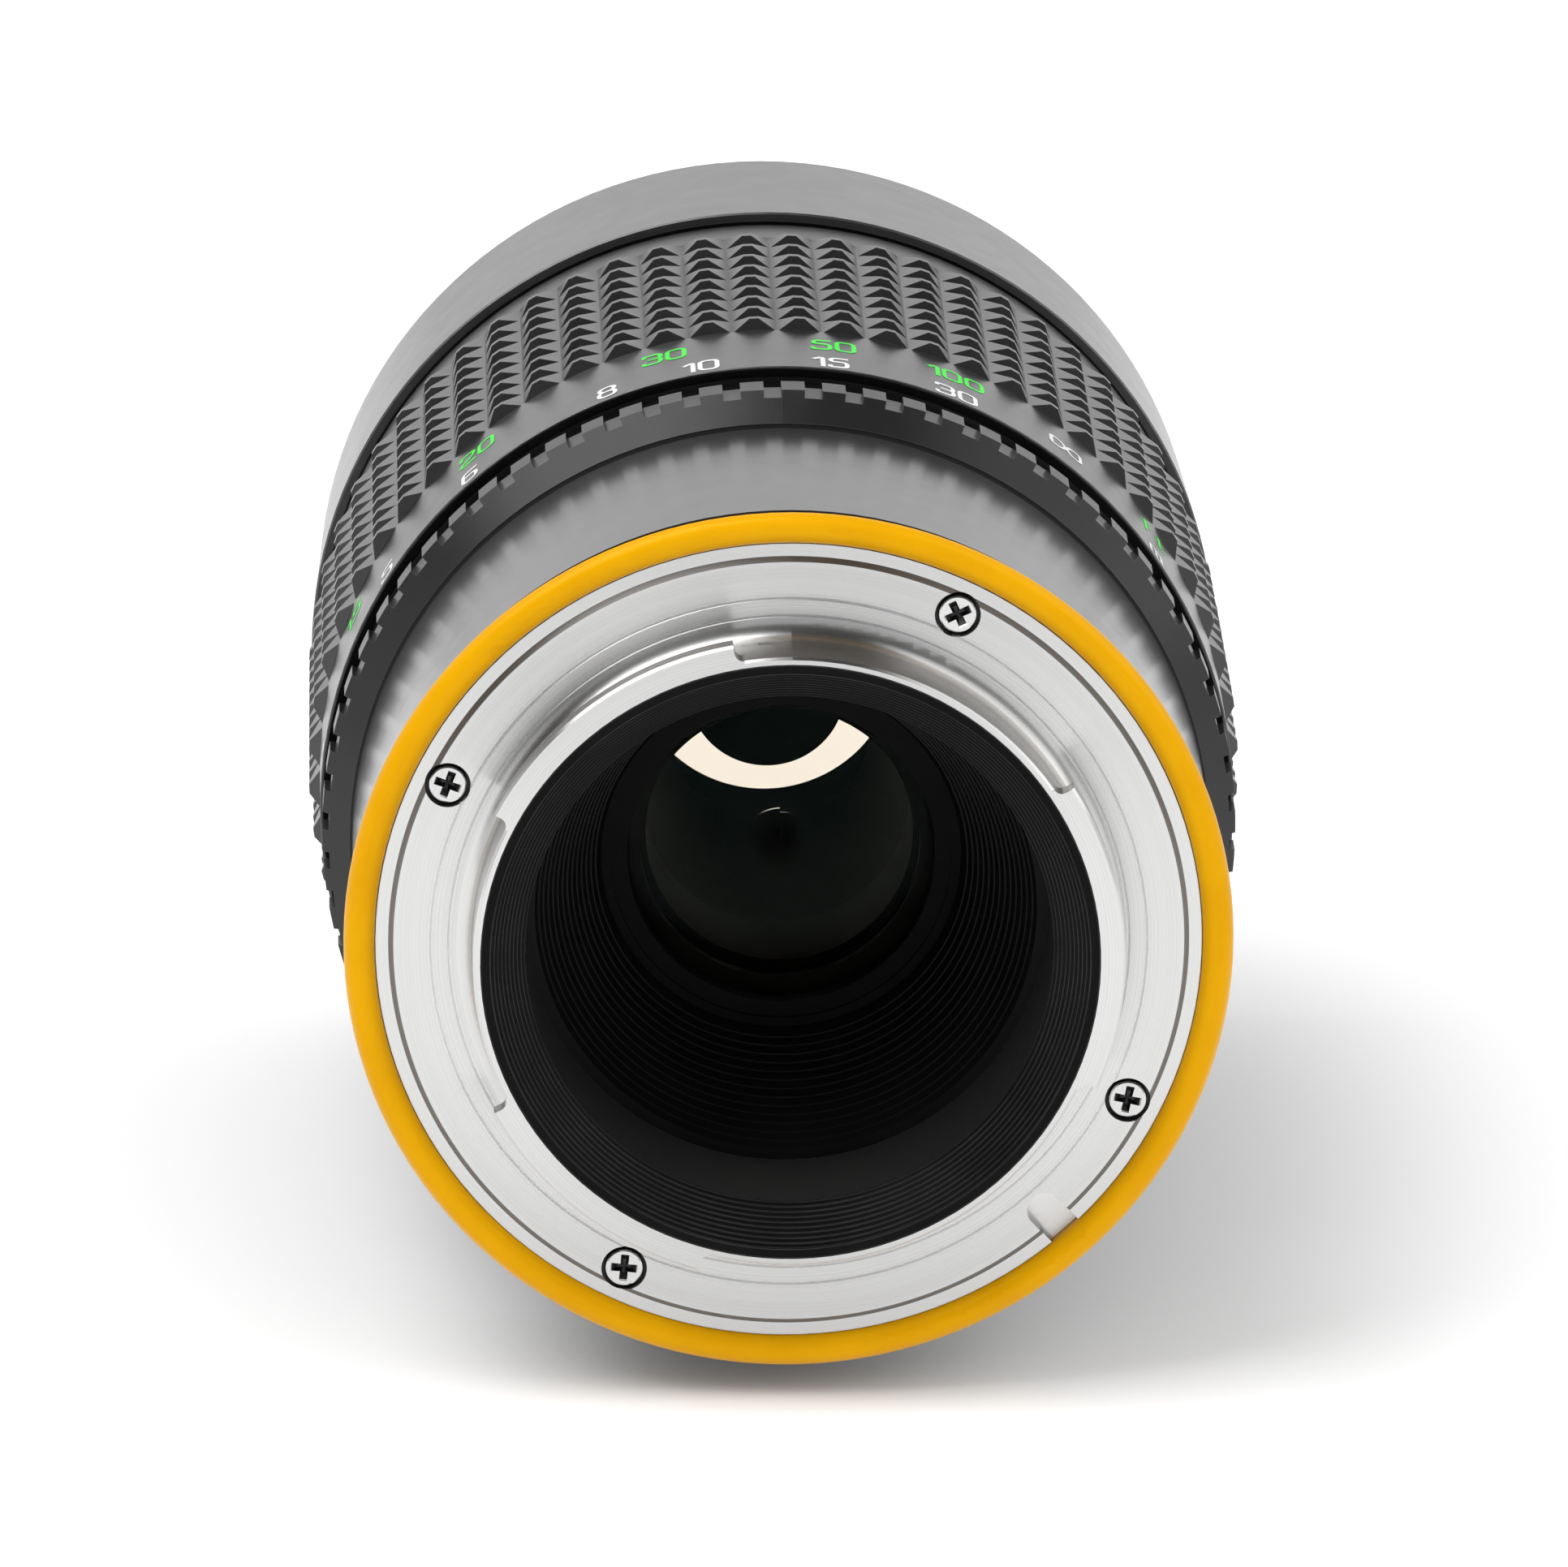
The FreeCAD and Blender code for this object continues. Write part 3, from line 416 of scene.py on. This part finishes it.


# The chrome's ledge band is painted dark as painted shade, and its two groove bands pale as
# painted highlights.
chrome = turned_metal("bayonet_chrome", grey(0.55), (0.65, 0.65, 0.64), 0.26,
                      depth=0.0006 * MM, brushed=0.9,
                      painted_light_cut_bands=[(LEDGE_BAND, grey(0.25)),
                                  (GROOVE_BANDS[0], grey(0.88)),
                                  (GROOVE_BANDS[1], grey(0.88))],
                      floor_and_shade_behind=(SLOT_FLOOR_Y, grey(0.92)))
# Screw metal, painted near black past a shallow depth as painted shade in the cross recess
# and round the head
screw_metal = turned_metal("screw_chrome", grey(0.50), (0.66, 0.66, 0.65), 0.18,
                           floor_and_shade_behind=(SCREW_SHADE_Y, grey(0.05)))
brass = turned_metal("brass", (0.62, 0.44, 0.18), (0.72, 0.52, 0.24), 0.25)
steel = turned_metal("steel", grey(0.50), grey(0.60), 0.25)
# Each paint's edge colour below lightens its convex edges: painted edge highlights, with a
# little wear.
yellow = satin_paint("accent_yellow", (0.75, 0.355, 0.0004), (0.82, 0.40, 0.0008), 0.30,
                     0.5, lit_worn_colour=(0.95, 0.55, 0.02), tint=(1.0, 0.6, 0.1))
barrel_black = satin_paint("barrel_black", grey(0.022), grey(0.030), 0.22, 0.7, 0.45,
                           depth=0.002 * MM, lit_worn_colour=grey(0.10))
collar_black = satin_paint("collar_black", grey(0.010), grey(0.015), 0.30, 0.35,
                           lit_worn_colour=grey(0.08))
grip_black = satin_paint("grip_black", grey(0.011), grey(0.017), 0.32, 0.7, 0.35,
                         lit_worn_colour=grey(0.07))
bell_black = satin_paint("bell_black", grey(0.024), grey(0.033), 0.30, 0.7, 0.45,
                         lit_worn_colour=grey(0.09))
# Past the ribs the insert's bore is painted paler: painted light where the bore is lit.
insert_black = satin_paint("insert_black", grey(0.004), grey(0.006), 0.30, 0.05,
                           lit_worn_colour=grey(0.12), painted_light_behind=(INSERT_BORE_Y, grey(0.022)))
inner_black = satin_paint("inner_black", grey(0.003), grey(0.005), 0.60, 0.12)
funnel_black = satin_paint("funnel_black", grey(0.003), grey(0.005), 0.50, 0.2)
clear_glass = glass("lens_glass", LENS_COLOUR)
silver = mirror("mirror_silver")
white_paint = scale_paint("scale_white", grey(0.95), 0.35)
green_paint = scale_paint("scale_green", (0.05, 0.92, 0.05), 0.5)

FINISHES = {
    chrome: ("mount_plate",),
    yellow: ("accent_ring",),
    barrel_black: ("rear_barrel",),
    collar_black: ("castellated_collar",),
    grip_black: ("focus_ring",),
    bell_black: ("front_bell",),
    insert_black: ("throat_insert",),
    funnel_black: ("light_funnel",),
    inner_black: ("inner_barrel", "primary_cell", "primary_ring",
                  "baffle_tube", "rear_cell", "rear_spacer", "rear_ring",
                  "front_sleeve", "corrector_ring", "secondary_cell", "secondary_stop",
                  "front_disc"),
    brass: ("keeper_ring", "guide_keys", "drive_nut"),
    steel: ("stop_pin",),
    clear_glass: ("inner_rear_lens", "outer_rear_lens", "corrector_lens"),
    silver: ("primary_mirror", "secondary_mirror"),
}


def dress(node, material):
    """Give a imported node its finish."""
    for slot in nodes[node].material_slots:
        slot.material = material


for material, names in FINISHES.items():
    for name in names:
        dress(name, material)


# Numerals are strokes in a unit box, with round corners where they turn
GLYPHS = {
    "0": [([(0, 0), (1, 0), (1, 1), (0, 1)], True)],
    "1": [([(0.15, 0.78), (0.62, 1), (0.62, 0)], False)],
    "2": [([(0, 0.78), (0, 1), (1, 1), (1, 0.56), (0, 0.20), (0, 0), (1, 0)], False)],
    "3": [([(0, 0.84), (0, 1), (1, 1), (1, 0.52), (0.35, 0.52)], False),
          ([(0.35, 0.52), (1, 0.52), (1, 0), (0, 0), (0, 0.16)], False)],
    "4": [([(0.75, 0), (0.75, 1), (0, 0.28), (1.05, 0.28)], False)],
    "5": [([(0.95, 1), (0.08, 1), (0.02, 0.58), (1, 0.62), (1, 0), (0, 0), (0, 0.14)],
           False)],
    "6": [([(0.95, 1), (0, 1), (0, 0), (1, 0), (1, 0.58), (0, 0.58)], False)],
    "7": [([(0, 1), (1, 1), (0.35, 0)], False)],
    "8": [([(0.04, 0.53), (0.96, 0.53), (0.96, 1), (0.04, 1)], True),
          ([(0, 0), (1, 0), (1, 0.53), (0, 0.53)], True)],
    ".": [([(0.45, 0), (0.55, 0)], False)],
    "m": [([(0, 0), (0, 0.62), (0.55, 0.62), (0.55, 0)], False),
          ([(0.55, 0.4), (0.55, 0.62), (1.1, 0.62), (1.1, 0)], False)],
    "f": [([(0.75, 1), (0.35, 1), (0.35, 0)], False), ([(0, 0.62), (0.75, 0.62)], False)],
    "infinity": [([(0, 0.08), (0, 0.92), (0.72, 0.92), (1.48, 0.08), (2.2, 0.08),
                   (2.2, 0.92), (1.48, 0.92), (0.72, 0.08)], True)],
    "t": [([(0.35, 0.95), (0.35, 0), (0.8, 0)], False), ([(0, 0.62), (0.75, 0.62)], False)],
}
NARROW_GLYPHS = {".": 0.45, "1": 0.62}
# Most that a corner's curve takes of a stroke, as a share of a numeral's width
CORNER_REACH = 0.42
CORNER_STEPS = 5


def rounded(points, closed):
    """Centre line of a stroke with its corners rounded."""
    corners = [Vector((x * DIGIT_WIDTH, y * DIGIT_HEIGHT)) for x, y in points]
    line = []
    count = len(corners)
    for index, here in enumerate(corners):
        if not closed and index in (0, count - 1):
            line.append(here)
            continue
        before = corners[index - 1]
        after = corners[(index + 1) % count]
        reach = min((before - here).length, (after - here).length) * 0.5
        reach = min(reach, CORNER_REACH * DIGIT_WIDTH)
        start = here + (before - here).normalized() * reach
        end = here + (after - here).normalized() * reach
        for step in range(CORNER_STEPS + 1):
            t = step / CORNER_STEPS
            line.append(start * (1 - t) ** 2 + here * 2 * t * (1 - t) + end * t * t)
    return line


def ribbon(mesh, line, closed, shift, to_surface):
    """Flat stroke of even width along a line, laid on the ring."""
    count = len(line)
    sides = []
    for index, point in enumerate(line):
        before = line[index - 1] if closed or index > 0 else point
        after = line[(index + 1) % count] if closed or index < count - 1 else point
        along = (after - before).normalized()
        side = Vector((-along.y, along.x)) * DIGIT_STROKE / 2
        tip = Vector((0, 0))
        if not closed and index == 0:
            tip = -along * DIGIT_STROKE / 2
        if not closed and index == count - 1:
            tip = along * DIGIT_STROKE / 2
        sides.append([mesh.verts.new(to_surface(point + tip + side + shift)),
                      mesh.verts.new(to_surface(point + tip - side + shift))])
    last = count if closed else count - 1
    for index in range(last):
        a, b = sides[index]
        c, d = sides[(index + 1) % count]
        mesh.faces.new((a, b, d, c))


def scale_mark(name, strokes, clock, row, material):
    """Painted mark on the scale band, centred on a clock angle."""
    mesh = bmesh.new()
    points = [p + s for line, closed, s in strokes for p in line]
    middle = (min(p.x for p in points) + max(p.x for p in points)) / 2
    radius = BAND_RADIUS + PAINT_LIFT

    def to_surface(point):
        turn = math.radians(clock) + (point.x - middle) / BAND_RADIUS
        y = row + point.y - DIGIT_HEIGHT / 2
        return Vector((radius * math.sin(turn), y, radius * math.cos(turn)))

    for line, closed, shift in strokes:
        ribbon(mesh, line, closed, shift, to_surface)
    bmesh.ops.recalc_face_normals(mesh, faces=mesh.faces)
    for face in mesh.faces:
        outward = face.calc_center_median() * Vector((1, 0, 1))
        if face.normal.dot(outward) < 0:
            face.normal_flip()
    data = bpy.data.meshes.new(name)
    mesh.to_mesh(data)
    mesh.free()
    piece = bpy.data.objects.new(name, data)
    bpy.context.collection.objects.link(piece)
    data.materials.append(material)
    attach(piece, "turning_grip")


def word_strokes(word):
    """Strokes of a number, or of a list of glyph names."""
    strokes = []
    x = 0.0
    for letter in word:
        for points, closed in GLYPHS[letter]:
            strokes.append((rounded(points, closed), closed, Vector((x, 0))))
        x += DIGIT_WIDTH * NARROW_GLYPHS.get(letter, 1.0) + DIGIT_GAP
    return strokes


def make_scale():
    """The marks of both units, where the drive's law puts them."""
    for number in METRES:
        clock = INFINITY_CLOCK - CLOCK_PER_DIOPTRE / number
        label = str(number)
        scale_mark("metres_" + label, word_strokes(label), clock, METRE_ROW, white_paint)
    for number in FEET:
        clock = INFINITY_CLOCK - CLOCK_PER_DIOPTRE / (number * METRES_PER_FOOT)
        label = str(number)
        scale_mark("feet_" + label, word_strokes(label), clock, FOOT_ROW, green_paint)
    scale_mark("infinity_mark", word_strokes(["infinity"]), INFINITY_CLOCK, INFINITY_ROW,
               white_paint)
    scale_mark("metre_mark", word_strokes("m"), UNIT_CLOCK, METRE_ROW, white_paint)
    scale_mark("foot_mark", word_strokes("ft"), UNIT_CLOCK, FOOT_ROW, green_paint)


make_scale()


def finish_piece(name, mesh, material, body, sharp_deg):
    """Object from a bmesh, with its sharp edges kept and its round faces smooth."""
    bmesh.ops.recalc_face_normals(mesh, faces=mesh.faces)
    data = bpy.data.meshes.new(name)
    mesh.to_mesh(data)
    mesh.free()
    data.shade_smooth()
    data.set_sharp_from_angle(angle=math.radians(sharp_deg))
    piece = bpy.data.objects.new(name, data)
    bpy.context.collection.objects.link(piece)
    data.materials.append(material)
    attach(piece, body)
    return piece


def join_rings(mesh, rings):
    """Skin between rings of the same number of vertices."""
    for low, high in zip(rings, rings[1:]):
        count = len(low)
        for index in range(count):
            after = (index + 1) % count
            mesh.faces.new((low[index], low[after], high[after], high[index]))


def make_filter_thread():
    """Closed band of ridges that lines the front rim, where a filter screws in."""
    profile = []
    for ridge in range(THREAD_RIDGES):
        start = THREAD_START_Y + ridge * THREAD_PITCH
        profile.append((THREAD_ROOT, start))
        for share in THREAD_CREST_SPAN:
            profile.append((THREAD_CREST, start + THREAD_PITCH * share))
    end = THREAD_START_Y + THREAD_RIDGES * THREAD_PITCH
    profile += [(THREAD_ROOT, end), (THREAD_BACK, end), (THREAD_BACK, THREAD_START_Y)]
    mesh = bmesh.new()
    rings = []
    for radius, y in profile:
        ring = []
        for step in range(THREAD_STEPS):
            turn = 2 * math.pi * step / THREAD_STEPS
            ring.append(mesh.verts.new((radius * math.sin(turn), y,
                                        radius * math.cos(turn))))
        rings.append(ring)
    join_rings(mesh, rings + rings[:1])
    finish_piece("filter_thread_ridges", mesh, bell_black, "front_group", 20)


def wing_radius(angle, scale):
    """Half-width of the cross recess at an angle from its nearest wing."""
    flare = 1 + WING_FLARE * (1 - abs(angle) / 45)
    across = math.sin(math.radians(abs(angle)))
    reach = WING_LENGTH / math.cos(math.radians(angle))
    if across > 0:
        reach = min(reach, WING_HALF_WIDTH * flare / across)
    return reach * scale


def screw_rings(mesh, to_place):
    """Rings of one screw from the tip of its shank round to the cross recess."""
    angles = [quarter * 90 + angle for quarter in range(4) for angle in WING_ANGLES]
    washer_y = SCREW_SEAT_Y - SCREW_WASHER
    turned = [(SCREW_TIP, SCREW_TIP_Y), (SCREW_SHANK, SCREW_TIP_Y - SCREW_TIP_LENGTH),
              (SCREW_SHANK, SCREW_SEAT_Y), (SCREW_WELL, SCREW_SEAT_Y),
              (SCREW_WELL, washer_y), (SCREW_RADIUS, washer_y),
              (SCREW_RADIUS, SCREW_TOP_Y + SCREW_EDGE),
              (SCREW_RADIUS - 0.05 * MM, SCREW_TOP_Y + 0.04 * MM),
              (SCREW_RADIUS - SCREW_EDGE, SCREW_TOP_Y)]
    rings = [[to_place(radius, angle, y) for angle in angles] for radius, y in turned]
    for scale, depth in RECESS:
        rings.append([to_place(wing_radius(angle, scale), quarter * 90 + angle,
                               SCREW_TOP_Y + depth)
                      for quarter in range(4) for angle in WING_ANGLES])
    rings = [[mesh.verts.new(point) for point in ring] for ring in rings]
    join_rings(mesh, rings)
    mesh.faces.new(rings[0])
    mesh.faces.new(rings[-1])


def make_screws():
    """The four plate screws, with a flared cross recess and a washer, painted near black
    past the head's face as painted shade.
    """
    mesh = bmesh.new()
    for clock, turn in zip(SCREW_CLOCKS, SCREW_TURNS):
        middle = Vector((SCREW_CIRCLE * math.sin(math.radians(clock)), 0,
                         SCREW_CIRCLE * math.cos(math.radians(clock))))

        def to_place(radius, angle, y, middle=middle, turn=turn):
            way = math.radians(angle - turn)
            return middle + Vector((radius * math.cos(way), y, radius * math.sin(way)))

        screw_rings(mesh, to_place)
    piece = finish_piece("cross_recess_screws", mesh, screw_metal, "barrel",
                         25)
    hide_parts("mount_screws")


make_filter_thread()
make_screws()


def seen_ray(tree):
    """1 for a ray that the camera, a gloss or a glass looks along, else 0."""
    path = add(tree, "ShaderNodeLightPath")
    seen = path.outputs["Is Camera Ray"]
    for kind in ("Is Glossy Ray", "Is Transmission Ray"):
        either = add(tree, "ShaderNodeMath", operation="MAXIMUM")
        tree.links.new(seen, either.inputs[0])
        tree.links.new(path.outputs[kind], either.inputs[1])
        seen = either.outputs[0]
    return seen


def make_floor():
    """Pale floor that reads as white to the camera and keeps the shadow."""
    floor_z = cad_bounds[0][2]
    corners = [(-1, -1), (1, -1), (1, 1), (-1, 1)]
    mesh = bpy.data.meshes.new("floor")
    mesh.from_pydata([(x * FLOOR_HALF, y * FLOOR_HALF, floor_z) for x, y in corners],
                     [], [(0, 1, 2, 3)])
    floor = bpy.data.objects.new("floor", mesh)
    bpy.context.collection.objects.link(floor)
    material, tree, shader = node_tree("floor_white")
    tree.links.new(between(tree, noise(tree, 3.0), grey(0.93), grey(0.95)),
                   shader.inputs["Base Color"])
    shader.inputs["Roughness"].default_value = 0.9
    shader.inputs["Specular IOR Level"].default_value = 0.1
    open_sky = add(tree, "ShaderNodeAmbientOcclusion", samples=8)
    open_sky.inputs["Distance"].default_value = FLOOR_SHADE_REACH
    lift = with_number(tree, open_sky.outputs["AO"], "MULTIPLY", FLOOR_LIFT)
    glow = add(tree, "ShaderNodeEmission")
    tree.links.new(product(tree, seen_ray(tree), lift), glow.inputs["Strength"])
    both = add(tree, "ShaderNodeAddShader")
    tree.links.new(shader.outputs["BSDF"], both.inputs[0])
    tree.links.new(glow.outputs["Emission"], both.inputs[1])
    output = next(node for node in tree.nodes if node.type == "OUTPUT_MATERIAL")
    tree.links.new(both.outputs["Shader"], output.inputs["Surface"])
    mesh.materials.append(material)


def make_world():
    """Even light, with a white backdrop and a dark ceiling and open side."""
    world = bpy.data.worlds.new("studio")
    bpy.context.scene.world = world
    world.use_nodes = True
    tree = world.node_tree
    tree.nodes.clear()
    output = tree.nodes.new("ShaderNodeOutputWorld")
    light = add(tree, "ShaderNodeBackground")
    light.inputs["Color"].default_value = (1, 1, 1, 1)
    light.inputs["Strength"].default_value = WORLD_LIGHT
    white = add(tree, "ShaderNodeBackground")
    white.inputs["Color"].default_value = (1, 1, 1, 1)
    way = add(tree, "ShaderNodeTexCoord")
    height = add(tree, "ShaderNodeVectorMath", operation="DOT_PRODUCT")
    height.inputs[1].default_value = CEILING_WAY
    tree.links.new(way.outputs["Generated"], height.inputs[0])
    fall = add(tree, "ShaderNodeMapRange", interpolation_type="SMOOTHSTEP")
    fall.inputs["From Min"].default_value = BACKDROP_TOP
    fall.inputs["From Max"].default_value = CEILING_START
    fall.inputs["To Min"].default_value = 1.0
    fall.inputs["To Max"].default_value = CEILING_LIGHT
    tree.links.new(height.outputs["Value"], fall.inputs["Value"])
    tree.links.new(fall.outputs["Result"], white.inputs["Strength"])
    mix = add(tree, "ShaderNodeMixShader")
    tree.links.new(seen_ray(tree), mix.inputs["Fac"])
    tree.links.new(light.outputs[0], mix.inputs[1])
    tree.links.new(white.outputs[0], mix.inputs[2])
    tree.links.new(mix.outputs[0], output.inputs["Surface"])


def make_lights():
    for name, (place, side, power, in_gloss) in LAMPS.items():
        light = bpy.data.lights.new(name, "AREA")
        light.shape = "RECTANGLE"
        light.size = side
        light.size_y = side
        light.energy = power
        lamp = bpy.data.objects.new(name, light)
        bpy.context.collection.objects.link(lamp)
        lamp.location = place
        lamp.rotation_euler = (LAMP_TARGET - place).to_track_quat("-Z", "Y").to_euler()
        lamp.visible_glossy = in_gloss


make_floor()
make_world()
make_lights()


def make_camera():
    """Camera where the photograph's was, square to the right and up directions."""
    data = bpy.data.cameras.new("camera")
    data.lens = CAMERA_LENS
    data.sensor_width = SENSOR_WIDTH
    data.clip_start = CLIP_START
    camera = bpy.data.objects.new("camera", data)
    bpy.context.collection.objects.link(camera)
    right = CAMERA_RIGHT.normalized()
    back = right.cross(CAMERA_UP.normalized()).normalized()
    up = back.cross(right)
    turn = Matrix((right, up, back)).transposed().to_4x4()
    camera.matrix_world = Matrix.Translation(CAMERA_PLACE) @ turn
    bpy.context.scene.camera = camera


make_camera()

bpy.context.scene.view_settings.view_transform = "Standard"
